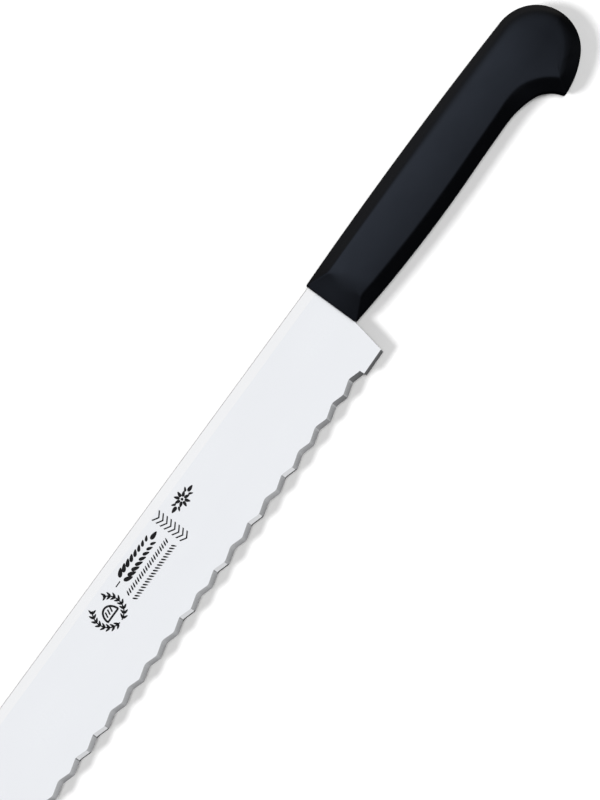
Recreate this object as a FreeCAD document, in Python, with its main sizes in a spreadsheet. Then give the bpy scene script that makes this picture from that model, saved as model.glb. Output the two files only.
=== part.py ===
import FreeCAD, Part
import math
import os

import Sketcher

# Bread knife: a serrated steel blade, stamped in one piece with its tang, in a moulded handle.
#
# Each sub-part is drawn about the knife's own corner: x = 0 is the handle's front face and x runs
# towards the butt, y = 0 is the blade's spine and y runs away from the edge, and z = 0 is the middle
# of the steel. The knife lies on its side, so its Placement then lifts it until the handle's lower
# facet is at z = 0 and centres its length and width on the origin. +Z is the serrated face.

DIMENSIONS = [
    # blade
    ("blade_length", 300.0, "handle's front face to the tip"),
    ("blade_width", 36.55, "spine to the scallop tips at the widest place"),
    ("widest_at", 136.0, "widest place, ahead of the handle"),
    ("bow_radius", 5500.0, "gentle convex bow of the cutting edge"),
    ("steel_thickness", 2.0, "sheet thickness at the spine and in the tang"),
    ("edge_thickness", 0.86, "thickness left by the taper grind at the widest place"),
    ("flat_strip", 3.6, "unground strip along the spine"),
    ("grind_overrun", 6.0, "how far the taper grind runs on inside the handle"),
    ("spine_easing", 0.25, "rounding of the two long spine edges"),
    ("tip_radius", 60.0, "spine's curve down to the tip"),
    ("nose_radius", 1.5, "rounding of the tip itself"),
    ("nose_trim", 0.85, "how much that rounding takes off the pointed tip"),
    ("heel_slant", 2.6, "how far the heel leans forward"),
    ("heel_flat", 10.6, "plain stretch of edge at the heel"),
    # serration, ground on one face
    ("bevel_angle", 24.0, "angle of the serrated bevel to the blade's face"),
    ("scallop_pitch", 10.6, "tip to tip"),
    ("scallop_depth", 1.6, "tip to gullet, across the blade, before the gullet is rounded"),
    ("scallop_count", 26, "number of scallops"),
    ("gullet_offset", 0.4, "how far each gullet lies from the middle of its scallop, towards the heel"),
    ("gullet_blend", 0.9, "how far the rounding of the gullet reaches up each flank"),
    ("wheel_clearance", 1.6, "how far the grinding shape stands above the bevel"),
    ("wheel_reach", 12.0, "length of the grinding shape along the bevel"),
    ("plain_bevel", 1.2, "width of the bevel on the plain stretches"),
    ("edge_allowance", 1.0, "how far the plain edge stands outside the line of the scallop tips"),
    # tang
    ("tang_length", 105.0, "handle's front face to the tang's end"),
    ("tang_top", 4.0, "spine line to the tang's upper edge"),
    ("tang_width", 13.5, "width of the tang"),
    ("tang_hole_radius", 3.0, "anchoring holes that the plastic fills"),
    ("tang_hole_first", 22.0, "first hole, from the handle's front face"),
    ("tang_hole_pitch", 30.0, "hole to hole"),
    ("tang_hole_count", 3, "number of holes"),
    # handle, side view
    ("handle_length", 135.0, "front face to butt"),
    ("crown_height", 1.62, "highest point of the back, above the spine line"),
    ("crown_at", 52.0, "where that point is"),
    ("crown_radius", 1936.0, "gentle crown of the back"),
    ("butt_radius", 16.45, "round butt"),
    ("butt_turn", 61.0, "angle of the butt's arc below its middle"),
    ("butt_underside_radius", 32.7, "underside of the butt"),
    ("hook_at", 111.4, "hook's corner, from the front face"),
    ("hook_depth", 34.35, "hook's corner, below the spine line"),
    ("hook_radius", 12.2, "inside of the hook"),
    ("hook_root_at", 103.2, "where the hook's inside meets the neck"),
    ("hook_root_depth", 25.4, "the same point, below the spine line"),
    ("neck_radius", 36.5, "neck ahead of the hook"),
    ("neck_at", 91.0, "front end of the neck's curve"),
    ("neck_depth", 23.3, "the same point, below the spine line"),
    ("belly_end_at", 74.0, "rear end of the belly's curve"),
    ("belly_end_depth", 23.6, "the same point, below the spine line"),
    ("belly_radius", 560.0, "belly of the grip"),
    ("front_depth", 21.7, "lower corner of the front face, below the spine line"),
    # handle, thickness and the flat facet on each side
    ("handle_thickness", 18.0, "facet to facet"),
    ("bevel_depth", 5.0, "how far each bevel drops from the facet"),
    ("edge_rounding", 0.8, "soft edges of the moulding"),
    ("front_slope", 8.6, "length of the sloping front"),
    ("facet_front_top", 2.85, "facet's upper front corner, below the spine line"),
    ("facet_front_bottom", 17.1, "facet's lower front corner, below the spine line"),
    ("facet_back_at", 117.0, "rear end of the facet's upper edge"),
    ("facet_back_depth", 3.4, "the same point, below the spine line"),
    ("facet_back_radius", 3860.0, "gentle curve of the facet's upper edge"),
    ("facet_end_at", 132.0, "facet's rearmost point"),
    ("facet_end_depth", 15.9, "the same point, below the spine line"),
    ("facet_end_radius", 16.3, "facet's curves round the butt"),
    ("facet_under_at", 120.6, "facet's curve under the butt ends here"),
    ("facet_under_depth", 26.3, "the same point, below the spine line"),
    ("facet_hook_at", 114.9, "facet's hook corner"),
    ("facet_hook_depth", 28.6, "the same point, below the spine line"),
    ("facet_hook_radius", 21.0, "facet's curve inside the hook"),
    ("facet_root_at", 102.5, "where that curve meets the neck's"),
    ("facet_root_depth", 18.35, "the same point, below the spine line"),
    ("facet_neck_at", 93.0, "front end of the facet's neck curve"),
    ("facet_neck_depth", 18.1, "the same point, below the spine line"),
    ("facet_belly_at", 76.0, "rear end of the facet's belly curve"),
    ("facet_belly_depth", 18.5, "the same point, below the spine line"),
]

STRAIGHT = None


def dim(name):
    return "Dimensions." + name


def make_sheet(doc):
    sheet = doc.addObject("Spreadsheet::Sheet", "Dimensions")
    for row, (alias, value, note) in enumerate(DIMENSIONS, start=1):
        sheet.set("A%d" % row, alias)
        sheet.set("B%d" % row, str(value))
        sheet.set("C%d" % row, note)
        sheet.setAlias("B%d" % row, alias)
    doc.recompute()
    return sheet


def value(body, formula):
    return float(body.Document.Dimensions.evalExpression(formula))


def origin_plane(body, role):
    return next(part for part in body.Origin.OriginFeatures if part.Role == role)


def new_sketch(body, name, role="XY_Plane"):
    sketch = body.newObject("Sketcher::SketchObject", name)
    sketch.AttachmentSupport = [(origin_plane(body, role), "")]
    sketch.MapMode = "FlatFace"
    return sketch


def pin_point(sketch, geometry, end, x_formula, y_formula, name):
    """Hold one end of a line or arc at a place given by two formulas."""
    for axis, formula in (("DistanceX", x_formula), ("DistanceY", y_formula)):
        start_value = value(sketch, formula)
        index = sketch.addConstraint(Sketcher.Constraint(axis, geometry, end, start_value))
        label = name + ("_across" if axis == "DistanceX" else "_up")
        sketch.renameConstraint(index, label)
        sketch.setExpression("Constraints." + label, formula)


def arc_between(start, end, radius, turn):
    """The smaller arc of this radius, to the left (turn 1) or right (turn -1) as it is travelled."""
    chord = end - start
    middle = (start + end) * 0.5
    to_centre = math.sqrt(radius ** 2 - (chord.Length / 2) ** 2)
    left = FreeCAD.Vector(-chord.y, chord.x, 0).normalize()
    centre = middle + left * (to_centre * turn)
    first, last = (start, end) if turn > 0 else (end, start)
    angle_first = math.atan2(first.y - centre.y, first.x - centre.x)
    angle_last = math.atan2(last.y - centre.y, last.x - centre.x)
    circle = Part.Circle(centre, FreeCAD.Vector(0, 0, 1), radius)
    return Part.ArcOfCircle(circle, angle_first, angle_last)


def draw_outline(sketch, corners, sides):
    """A closed outline through corners given as formulas.

    sides[i] joins corner i to the next one: STRAIGHT, or (radius formula, turn).
    """
    points = []
    for x_formula, y_formula in corners:
        points.append(FreeCAD.Vector(value(sketch, x_formula), value(sketch, y_formula), 0))
    ends = []
    for i, side in enumerate(sides):
        start, end = points[i], points[(i + 1) % len(points)]
        if side is STRAIGHT:
            geometry = sketch.addGeometry(Part.LineSegment(start, end), False)
            ends.append((geometry, 1, 2))
            continue
        radius_formula, turn = side
        arc = arc_between(start, end, value(sketch, radius_formula), turn)
        geometry = sketch.addGeometry(arc, False)
        ends.append((geometry, 1, 2) if turn > 0 else (geometry, 2, 1))
        index = sketch.addConstraint(Sketcher.Constraint("Radius", geometry, arc.Radius))
        sketch.renameConstraint(index, "side_%d_radius" % i)
        sketch.setExpression("Constraints.side_%d_radius" % i, radius_formula)
    for i, (geometry, first, last) in enumerate(ends):
        next_geometry, next_first, _ = ends[(i + 1) % len(ends)]
        sketch.addConstraint(
            Sketcher.Constraint("Coincident", geometry, last, next_geometry, next_first))
        pin_point(sketch, geometry, first, *corners[i], "corner_%d" % i)


def draw_circle(sketch, x_formula, y_formula, radius_formula):
    centre = FreeCAD.Vector(value(sketch, x_formula), value(sketch, y_formula), 0)
    circle = Part.Circle(centre, FreeCAD.Vector(0, 0, 1), value(sketch, radius_formula))
    geometry = sketch.addGeometry(circle, False)
    pin_point(sketch, geometry, 3, x_formula, y_formula, "centre")
    index = sketch.addConstraint(Sketcher.Constraint("Radius", geometry, circle.Radius))
    sketch.renameConstraint(index, "radius")
    sketch.setExpression("Constraints.radius", radius_formula)


def mirrored(body, name, original):
    mirror = body.newObject("PartDesign::Mirrored", name)
    mirror.Originals = [original]
    mirror.MirrorPlane = (origin_plane(body, "XY_Plane"), [""])
    body.Tip = mirror
    return mirror


def edges_where(shape, test):
    """Names of the edges of a shape whose middle point passes a test."""
    names = []
    for i, edge in enumerate(shape.Edges, start=1):
        middle = edge.valueAt((edge.FirstParameter + edge.LastParameter) / 2)
        if test(edge, middle):
            names.append("Edge%d" % i)
    if not names:
        raise RuntimeError("no edge fits the description")
    return names


def must_remove(body, earlier_volume, least):
    """A cut that points the wrong way removes nothing and reports no error."""
    removed = earlier_volume - body.Shape.Volume
    if removed < least:
        raise RuntimeError("a cut in %s removed only %.3f mm3" % (body.Label, removed))


# ---------------------------------------------------------------------------------------- blade

EDGE_LINE = dim("blade_width") + " + " + dim("edge_allowance")


def edge_depth(x_formula):
    """Formula for the unground edge's distance below the spine line, at x."""
    bow = dim("bow_radius")
    off_widest = "(%s + %s)" % (x_formula, dim("widest_at"))
    return "(%s - %s + sqrt(%s ^ 2 - %s ^ 2))" % (EDGE_LINE, bow, bow, off_widest)


def stamp_blade(body):
    """The stamping: spine, tip, bowed edge, heel and tang, with eased spine edges."""
    tip_x = "-(%s + %s)" % (dim("blade_length"), dim("nose_trim"))
    tip_depth = edge_depth(tip_x)
    radius = dim("tip_radius")
    spine_end = "%s + sqrt(%s ^ 2 - (%s - %s) ^ 2)" % (tip_x, radius, radius, tip_depth)
    heel_x = "-" + dim("heel_slant")
    tang_bottom = "-(%s + %s)" % (dim("tang_top"), dim("tang_width"))
    tang_middle = "-(%s + %s / 2)" % (dim("tang_top"), dim("tang_width"))
    tang_round = "%s / 2" % dim("tang_width")
    tang_end = dim("tang_length")
    round_start = "%s - %s" % (tang_end, tang_round)
    corners = [
        ("0", "0"),
        (spine_end, "0"),
        (tip_x, "-" + tip_depth),
        (heel_x, "-" + edge_depth(heel_x)),
        ("0", "-" + dim("front_depth")),
        ("0", tang_bottom),
        (round_start, tang_bottom),
        (tang_end, tang_middle),
        (round_start, "-" + dim("tang_top")),
        ("0", "-" + dim("tang_top")),
    ]
    sides = [
        STRAIGHT, (radius, 1), (dim("bow_radius"), 1), STRAIGHT, STRAIGHT,
        STRAIGHT, (tang_round, 1), (tang_round, 1), STRAIGHT, STRAIGHT,
    ]
    sketch = new_sketch(body, "blade_outline")
    draw_outline(sketch, corners, sides)
    pad = body.newObject("PartDesign::Pad", "blade_stamping")
    pad.Profile = sketch
    pad.Midplane = True
    pad.setExpression("Length", dim("steel_thickness"))
    body.Document.recompute()

    length = value(body, dim("blade_length"))
    nose = body.newObject("PartDesign::Fillet", "rounded_nose")
    nose.Base = (pad, edges_where(pad.Shape, lambda edge, middle: middle.x < -length))
    nose.setExpression("Radius", dim("nose_radius"))
    body.Document.recompute()

    def on_spine(edge, middle):
        return abs(middle.y) < 0.001 and edge.Length > length / 2

    easing = body.newObject("PartDesign::Fillet", "eased_spine")
    easing.Base = (nose, edges_where(nose.Shape, on_spine))
    easing.setExpression("Radius", dim("spine_easing"))
    body.Document.recompute()


def grind_taper(body):
    """A thin wedge off each face, from the flat strip down to the edge."""
    volume = body.Shape.Volume
    half = "%s / 2" % dim("steel_thickness")
    edge_half = "%s / 2" % dim("edge_thickness")
    strip = dim("flat_strip")
    past_edge = "(%s + 5)" % dim("blade_width")
    fall = "(%s - %s) / (%s - %s)" % (half, edge_half, dim("blade_width"), strip)
    lowest = "%s - %s * (%s - %s)" % (half, fall, past_edge, strip)
    corners = [
        ("-" + strip, half),
        ("-" + past_edge, lowest),
        ("-" + past_edge, half + " + 1"),
        ("-" + strip, half + " + 1"),
    ]
    sketch = new_sketch(body, "taper_section", "YZ_Plane")
    draw_outline(sketch, corners, [STRAIGHT] * 4)
    sketch.setExpression("AttachmentOffset.Base.z", dim("grind_overrun"))
    grind = body.newObject("PartDesign::Pocket", "taper_grind")
    grind.Profile = sketch
    grind.setExpression("Length", "%s + %s + 5" % (dim("blade_length"), dim("grind_overrun")))
    body.Document.recompute()
    must_remove(body, volume, 1000)
    mirrored(body, "taper_grind_other_face", grind)
    body.Document.recompute()
    must_remove(body, volume, 2000)


def place_on_edge(sketch, ahead):
    """Set a sketch square to the slope of the bevel, its origin on the scallop tips' line.

    ahead is a formula for the distance from the widest place towards the handle. In the sketch,
    x runs along the edge and y stands out of the bevel.
    """
    bow = dim("bow_radius")
    along = "asin((%s) / %s)" % (ahead, bow)
    place_x = "%s - %s" % (ahead, dim("widest_at"))
    place_y = "%s - %s - %s * cos(%s)" % (bow, dim("blade_width"), bow, along)
    place_z = "-%s / 2" % dim("edge_thickness")
    sketch.setExpression(
        "AttachmentOffset",
        "placement(vector(%s; %s; %s); rotation(%s; 0; 90 + %s))"
        % (place_x, place_y, place_z, along, dim("bevel_angle")))


def cut_along_bevel(body, name, sketch, least):
    volume = body.Shape.Volume
    cut = body.newObject("PartDesign::Pocket", name)
    cut.Profile = sketch
    cut.Midplane = True
    cut.setExpression("Length", dim("wheel_reach"))
    body.Document.recompute()
    must_remove(body, volume, least)
    return cut


def bevel_plain_stretch(body, name, near, far):
    """A narrow flat bevel on a stretch of edge, from near to far ahead of the handle's face."""
    face_height = "%s * cos(%s)" % (dim("edge_thickness"), dim("bevel_angle"))
    width = "(%s - %s)" % (dim("plain_bevel"), dim("edge_allowance"))
    level = "%s - %s * sin(%s)" % (face_height, width, dim("bevel_angle"))
    half_length = "((%s) - (%s)) / 2" % (far, near)
    corners = [
        ("-" + half_length, level),
        (half_length, level),
        (half_length, dim("wheel_clearance")),
        ("-" + half_length, dim("wheel_clearance")),
    ]
    sketch = new_sketch(body, name + "_section")
    draw_outline(sketch, corners, [STRAIGHT] * 4)
    place_on_edge(sketch, "%s - ((%s) + (%s)) / 2" % (dim("widest_at"), near, far))
    cut_along_bevel(body, name, sketch, 0.5)


def bevel_plain_stretches(body):
    """The edge ahead of the heel and the edge behind the tip carry no scallops."""
    serration_start = "%s + %s" % (dim("heel_slant"), dim("heel_flat"))
    serration_end = "%s + %s * %s" % (serration_start, dim("scallop_count"), dim("scallop_pitch"))
    overlap = dim("scallop_pitch") + " / 4"
    bevel_plain_stretch(body, "heel_bevel", "0", "%s + %s" % (serration_start, overlap))
    bevel_plain_stretch(
        body, "tip_bevel", "%s - %s" % (serration_end, overlap), dim("blade_length") + " + 1")


def grind_scallops(body):
    """One wheel-ground scallop along the slope of the bevel, repeated along the bowed edge.

    The section of the wheel is drawn square to the bevel: two straight flanks that dip below the
    bevel between two tips, with a rounded gullet between them. On the heel's side a steep shoulder
    shows where the wheel plunges in, and on the tip's side it leaves at a slant.
    """
    bow = dim("bow_radius")
    half_pitch = "%s / 2" % dim("scallop_pitch")
    depth = "(%s * sin(%s))" % (dim("scallop_depth"), dim("bevel_angle"))
    offset = dim("gullet_offset")
    blend = dim("gullet_blend")
    tip_flank = "atan(%s / (%s + %s))" % (depth, half_pitch, offset)
    heel_flank = "atan(%s / (%s - %s))" % (depth, half_pitch, offset)
    gullet_radius = "%s / tan((%s + %s) / 2)" % (blend, tip_flank, heel_flank)
    top = dim("wheel_clearance")
    corners = [
        ("-(%s + %s)" % (half_pitch, top), top),
        ("-" + half_pitch, "0"),
        ("%s - %s * cos(%s)" % (offset, blend, tip_flank),
         "%s * sin(%s) - %s" % (blend, tip_flank, depth)),
        ("%s + %s * cos(%s)" % (offset, blend, heel_flank),
         "%s * sin(%s) - %s" % (blend, heel_flank, depth)),
        (half_pitch, "0"),
        (half_pitch, top),
    ]
    sides = [STRAIGHT, STRAIGHT, (gullet_radius, 1), STRAIGHT, STRAIGHT, STRAIGHT]
    sketch = new_sketch(body, "scallop_section")
    draw_outline(sketch, corners, sides)
    start = "%s + %s" % (dim("heel_slant"), dim("heel_flat"))
    place_on_edge(sketch, "%s - (%s + %s)" % (dim("widest_at"), start, half_pitch))
    volume = body.Shape.Volume
    scallop = cut_along_bevel(body, "scallop", sketch, 5)

    centre = new_sketch(body, "bow_centre")
    centre.setExpression("AttachmentOffset.Base.x", "-" + dim("widest_at"))
    centre.setExpression("AttachmentOffset.Base.y", "%s - %s" % (bow, dim("blade_width")))
    row = body.newObject("PartDesign::PolarPattern", "serration")
    row.Originals = [scallop]
    row.Axis = (centre, ["N_Axis"])
    row.Reversed = True
    row.Mode = "Spacing"
    row.setExpression("Offset", "%s / %s * 180 / pi" % (dim("scallop_pitch"), bow))
    row.setExpression("Occurrences", dim("scallop_count"))
    body.Tip = row
    body.Document.recompute()
    must_remove(body, volume, 5 * value(body, dim("scallop_count")))


def punch_tang(body):
    """The holes that anchor the moulding."""
    volume = body.Shape.Volume
    sketch = new_sketch(body, "tang_hole_circle")
    middle = "-(%s + %s / 2)" % (dim("tang_top"), dim("tang_width"))
    draw_circle(sketch, dim("tang_hole_first"), middle, dim("tang_hole_radius"))
    hole = body.newObject("PartDesign::Pocket", "tang_hole")
    hole.Profile = sketch
    hole.Midplane = True
    hole.setExpression("Length", "2 * " + dim("steel_thickness"))
    body.Document.recompute()
    must_remove(body, volume, 40)
    row = body.newObject("PartDesign::LinearPattern", "tang_holes")
    row.Originals = [hole]
    row.Direction = (sketch, ["H_Axis"])
    row.Mode = "Spacing"
    row.setExpression("Offset", dim("tang_hole_pitch"))
    row.setExpression("Occurrences", dim("tang_hole_count"))
    body.Tip = row
    body.Document.recompute()
    must_remove(body, volume, 40 * value(body, dim("tang_hole_count")))


def make_blade(doc):
    body = doc.addObject("PartDesign::Body", "Blade")
    body.Label = "blade_with_tang"
    stamp_blade(body)
    punch_tang(body)
    grind_taper(body)
    bevel_plain_stretches(body)
    grind_scallops(body)
    return body


# --------------------------------------------------------------------------------------- handle


def crown_line(x_formula):
    """Formula for the height of the handle's back above the spine line, at x."""
    radius = dim("crown_radius")
    off_crown = "(%s - %s)" % (x_formula, dim("crown_at"))
    return "(%s - %s + sqrt(%s ^ 2 - %s ^ 2))" % (dim("crown_height"), radius, radius, off_crown)


def draw_handle_outline(sketch):
    """Side view of the handle at its full width, from the front's upper corner round the butt."""
    butt = dim("butt_radius")
    turn = dim("butt_turn")
    butt_x = "(%s - %s)" % (dim("handle_length"), butt)
    butt_y = "(%s - %s)" % (crown_line(butt_x), butt)
    corners = [
        ("0", crown_line("0")),
        (butt_x, "%s + %s" % (butt_y, butt)),
        (dim("handle_length"), butt_y),
        ("%s + %s * cos(%s)" % (butt_x, butt, turn), "%s - %s * sin(%s)" % (butt_y, butt, turn)),
        (dim("hook_at"), "-" + dim("hook_depth")),
        (dim("hook_root_at"), "-" + dim("hook_root_depth")),
        (dim("neck_at"), "-" + dim("neck_depth")),
        (dim("belly_end_at"), "-" + dim("belly_end_depth")),
        ("0", "-" + dim("front_depth")),
    ]
    sides = [
        (dim("crown_radius"), -1),
        (butt, -1),
        (butt, -1),
        (dim("butt_underside_radius"), -1),
        (dim("hook_radius"), 1),
        (dim("neck_radius"), 1),
        STRAIGHT,
        (dim("belly_radius"), -1),
        STRAIGHT,
    ]
    draw_outline(sketch, corners, sides)


def draw_facet_outline(sketch):
    """Side view of the flat facet, corner for corner with the handle's outline."""
    corners = [
        (dim("front_slope"), "-" + dim("facet_front_top")),
        (dim("facet_back_at"), "-" + dim("facet_back_depth")),
        (dim("facet_end_at"), "-" + dim("facet_end_depth")),
        (dim("facet_under_at"), "-" + dim("facet_under_depth")),
        (dim("facet_hook_at"), "-" + dim("facet_hook_depth")),
        (dim("facet_root_at"), "-" + dim("facet_root_depth")),
        (dim("facet_neck_at"), "-" + dim("facet_neck_depth")),
        (dim("facet_belly_at"), "-" + dim("facet_belly_depth")),
        (dim("front_slope"), "-" + dim("facet_front_bottom")),
    ]
    sides = [
        (dim("facet_back_radius"), -1),
        (dim("facet_end_radius"), -1),
        (dim("facet_end_radius"), -1),
        STRAIGHT,
        (dim("facet_hook_radius"), 1),
        (dim("neck_radius"), 1),
        STRAIGHT,
        (dim("belly_radius"), -1),
        STRAIGHT,
    ]
    draw_outline(sketch, corners, sides)


def make_handle_blank(doc):
    """The handle's outside as a solid: a straight band round the middle and a bevel to each facet."""
    body = doc.addObject("PartDesign::Body", "HandleBlank")
    body.Label = "handle_blank"
    band = "(%s - 2 * %s)" % (dim("handle_thickness"), dim("bevel_depth"))
    middle = new_sketch(body, "handle_outline")
    draw_handle_outline(middle)
    pad = body.newObject("PartDesign::Pad", "middle_band")
    pad.Profile = middle
    pad.Midplane = True
    pad.setExpression("Length", band)
    doc.recompute()

    rim = new_sketch(body, "bevel_foot")
    draw_handle_outline(rim)
    rim.setExpression("AttachmentOffset.Base.z", band + " / 2")
    facet = new_sketch(body, "facet_outline")
    draw_facet_outline(facet)
    facet.setExpression("AttachmentOffset.Base.z", dim("handle_thickness") + " / 2")
    bevel = body.newObject("PartDesign::AdditiveLoft", "bevels")
    bevel.Profile = rim
    bevel.Sections = [facet]
    bevel.Ruled = True
    doc.recompute()
    sharp = mirrored(body, "bevels_other_side", bevel)
    doc.recompute()

    soft = body.newObject("PartDesign::Fillet", "soft_edges")
    soft.Base = (sharp, [])
    soft.UseAllEdges = True
    soft.setExpression("Radius", dim("edge_rounding"))
    doc.recompute()
    return body


def make_handle(doc, blank, blade):
    """The moulding: the blank less the tang that it is moulded round."""
    handle = doc.addObject("Part::Cut", "Handle")
    handle.Base = blank
    handle.Tool = blade
    handle.Label = "moulded_handle"
    doc.recompute()
    tang_volume = blank.Shape.Volume - handle.Shape.Volume
    if tang_volume < 2000:
        raise RuntimeError("the tang cut only %.1f mm3 out of the handle" % tang_volume)
    return handle


# ----------------------------------------------------------------------------------------- knife


def lay_on_side(body):
    """Centre the knife's length and width on the origin and stand it on the lower facet."""
    body.setExpression(
        "Placement.Base.x", "(%s - %s) / 2" % (dim("blade_length"), dim("handle_length")))
    body.setExpression(
        "Placement.Base.y", "(%s - %s) / 2" % (dim("blade_width"), dim("crown_height")))
    body.setExpression("Placement.Base.z", "%s / 2" % dim("handle_thickness"))


def check_document(doc, pieces):
    for thing in doc.Objects:
        if "Invalid" in thing.State or "Error" in thing.State:
            raise RuntimeError("%s failed to build: %s" % (thing.Label, thing.State))
        if thing.isDerivedFrom("Sketcher::SketchObject") and thing.solve() != 0:
            raise RuntimeError("sketch %s does not solve" % thing.Label)
    for piece in pieces:
        shape = piece.Shape
        if shape.isNull() or not shape.isValid() or len(shape.Solids) != 1:
            raise RuntimeError("%s is not one sound solid" % piece.Label)


def main():
    doc = FreeCAD.newDocument("BreadKnife")
    make_sheet(doc)
    blade = make_blade(doc)
    blank = make_handle_blank(doc)
    lay_on_side(blade)
    lay_on_side(blank)
    handle = make_handle(doc, blank, blade)
    doc.recompute()

    pieces = [blade, handle]
    check_document(doc, pieces)
    os.makedirs("parts", exist_ok=True)
    for piece in pieces:
        box = piece.Shape.BoundBox
        print("%s: %.0f mm3, x %.2f to %.2f, y %.2f to %.2f, z %.2f to %.2f" % (
            piece.Label, piece.Shape.Volume,
            box.XMin, box.XMax, box.YMin, box.YMax, box.ZMin, box.ZMax))
        piece.Shape.exportStep("parts/%s.step" % piece.Label)


main()
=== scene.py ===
"""The looks of a bread knife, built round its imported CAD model.

Everything is drawn about the knife's own corner, in millimetres: x = 0 is the handle's front face and
x runs towards the butt, y = 0 is the blade's spine and y runs away from the edge, and z = 0 is the
middle of the steel, with +z on the serrated side. A depth is a distance below the spine, so y = -depth.
knife_point() turns such a point into metres in the model's frame.
"""
import math

import bmesh
import bpy
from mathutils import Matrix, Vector


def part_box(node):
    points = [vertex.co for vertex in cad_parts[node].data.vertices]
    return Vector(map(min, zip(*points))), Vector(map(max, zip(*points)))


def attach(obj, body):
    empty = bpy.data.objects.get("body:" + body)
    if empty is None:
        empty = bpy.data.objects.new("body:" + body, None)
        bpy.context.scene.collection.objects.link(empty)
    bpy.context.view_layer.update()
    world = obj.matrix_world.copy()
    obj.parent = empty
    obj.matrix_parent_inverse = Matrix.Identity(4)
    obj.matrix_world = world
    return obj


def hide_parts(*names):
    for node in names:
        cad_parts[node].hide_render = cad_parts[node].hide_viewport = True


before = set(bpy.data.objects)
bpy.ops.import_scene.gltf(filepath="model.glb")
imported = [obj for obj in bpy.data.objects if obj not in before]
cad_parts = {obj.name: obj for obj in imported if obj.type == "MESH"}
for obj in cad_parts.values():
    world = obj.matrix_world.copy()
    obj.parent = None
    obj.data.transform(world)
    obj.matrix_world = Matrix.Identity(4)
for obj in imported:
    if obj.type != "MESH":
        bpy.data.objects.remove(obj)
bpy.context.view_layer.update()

MM = 0.001
HANDLE_LOW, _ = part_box("moulded_handle")
BLADE_LOW, BLADE_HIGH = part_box("blade_with_tang")
KNIFE_CORNER = Vector((HANDLE_LOW.x, BLADE_HIGH.y, (BLADE_LOW.z + BLADE_HIGH.z) / 2))


def knife_point(x, y, z):
    return KNIFE_CORNER + Vector((x, y, z)) * MM


def clamp(value, low, high):
    return max(low, min(high, value))


def smooth_step(value):
    part = clamp(value, 0.0, 1.0)
    return part * part * (3.0 - 2.0 * part)


def blend(first, second, part):
    return first + (second - first) * part


# ---------------------------------------------------------------------------------- node helpers

# A Mix node's sockets for colours. They go by number, because its other kinds' have the same names.
MIX_SHARE, MIX_FIRST, MIX_SECOND = 0, 6, 7
MIX_RESULT = 2


def add_node(tree, kind, **settings):
    node = tree.nodes.new(kind)
    for name, setting in settings.items():
        setattr(node, name, setting)
    return node


def join(tree, output, node, socket):
    tree.links.new(output, node.inputs[socket])


def new_material(name, base_color, metallic, roughness):
    material = bpy.data.materials.new(name)
    material.use_nodes = True
    tree = material.node_tree
    surface = tree.nodes["Principled BSDF"]
    surface.inputs["Base Color"].default_value = (*base_color, 1.0)
    surface.inputs["Metallic"].default_value = metallic
    surface.inputs["Roughness"].default_value = roughness
    return material, tree, surface


def noise_at(tree, features, detail):
    """Noise in the object's own coordinates. features is the size of a feature along x, y and z."""
    place = add_node(tree, "ShaderNodeTexCoord")
    stretch = add_node(tree, "ShaderNodeMapping")
    stretch.inputs["Scale"].default_value = [1.0 / (size * MM) for size in features]
    noise = add_node(tree, "ShaderNodeTexNoise")
    noise.inputs["Scale"].default_value = 1.0
    noise.inputs["Detail"].default_value = detail
    join(tree, place.outputs["Object"], stretch, "Vector")
    join(tree, stretch.outputs["Vector"], noise, "Vector")
    return noise.outputs["Fac"]


def object_axis(tree, axis):
    place = add_node(tree, "ShaderNodeTexCoord")
    split = add_node(tree, "ShaderNodeSeparateXYZ")
    join(tree, place.outputs["Object"], split, "Vector")
    return split.outputs[axis]


def distance_from(tree, value, middle):
    """How far a value is from a middle one, whichever side it is on."""
    offset = add_node(tree, "ShaderNodeMath", operation="SUBTRACT")
    offset.inputs[1].default_value = middle
    join(tree, value, offset, 0)
    size = add_node(tree, "ShaderNodeMath", operation="ABSOLUTE")
    join(tree, offset.outputs[0], size, 0)
    return size.outputs[0]


def mapped(tree, value, low, high, span=(0.3, 0.7)):
    """The value's range, span, mapped to low..high. The span given here is where most noise lies."""
    ranged = add_node(tree, "ShaderNodeMapRange", clamp=True)
    ranged.inputs["From Min"].default_value = span[0]
    ranged.inputs["From Max"].default_value = span[1]
    ranged.inputs["To Min"].default_value = low
    ranged.inputs["To Max"].default_value = high
    join(tree, value, ranged, "Value")
    return ranged.outputs["Result"]


def along_knife(tree, axis, low, high, start, end):
    """low..high between two places along an axis, which are in the knife's own millimetres."""
    corner = KNIFE_CORNER["XYZ".index(axis)]
    return mapped(tree, object_axis(tree, axis), low, high, (corner + start * MM, corner + end * MM))


def axis_share(tree, vector, axis, low, high):
    """0 to 1, eased, as a direction's or a place's part along an axis goes from low to high."""
    dot = add_node(tree, "ShaderNodeVectorMath", operation="DOT_PRODUCT")
    dot.inputs[1].default_value = axis
    join(tree, vector, dot, 0)
    share = add_node(tree, "ShaderNodeMapRange", interpolation_type="SMOOTHSTEP")
    share.inputs["From Min"].default_value = low
    share.inputs["From Max"].default_value = high
    join(tree, dot.outputs["Value"], share, "Value")
    return share.outputs["Result"]


def mixed_color(tree, share, first, second):
    """A mix of two colours, each a colour or another node's output."""
    mix = add_node(tree, "ShaderNodeMix", data_type="RGBA")
    join(tree, share, mix, MIX_SHARE)
    for socket, color in ((MIX_FIRST, first), (MIX_SECOND, second)):
        if isinstance(color, tuple):
            mix.inputs[socket].default_value = (*color, 1.0)
        else:
            join(tree, color, mix, socket)
    return mix.outputs[MIX_RESULT]


def product(tree, first, *others):
    for other in others:
        times = add_node(tree, "ShaderNodeMath", operation="MULTIPLY")
        join(tree, first, times, 0)
        join(tree, other, times, 1)
        first = times.outputs["Value"]
    return first


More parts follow.
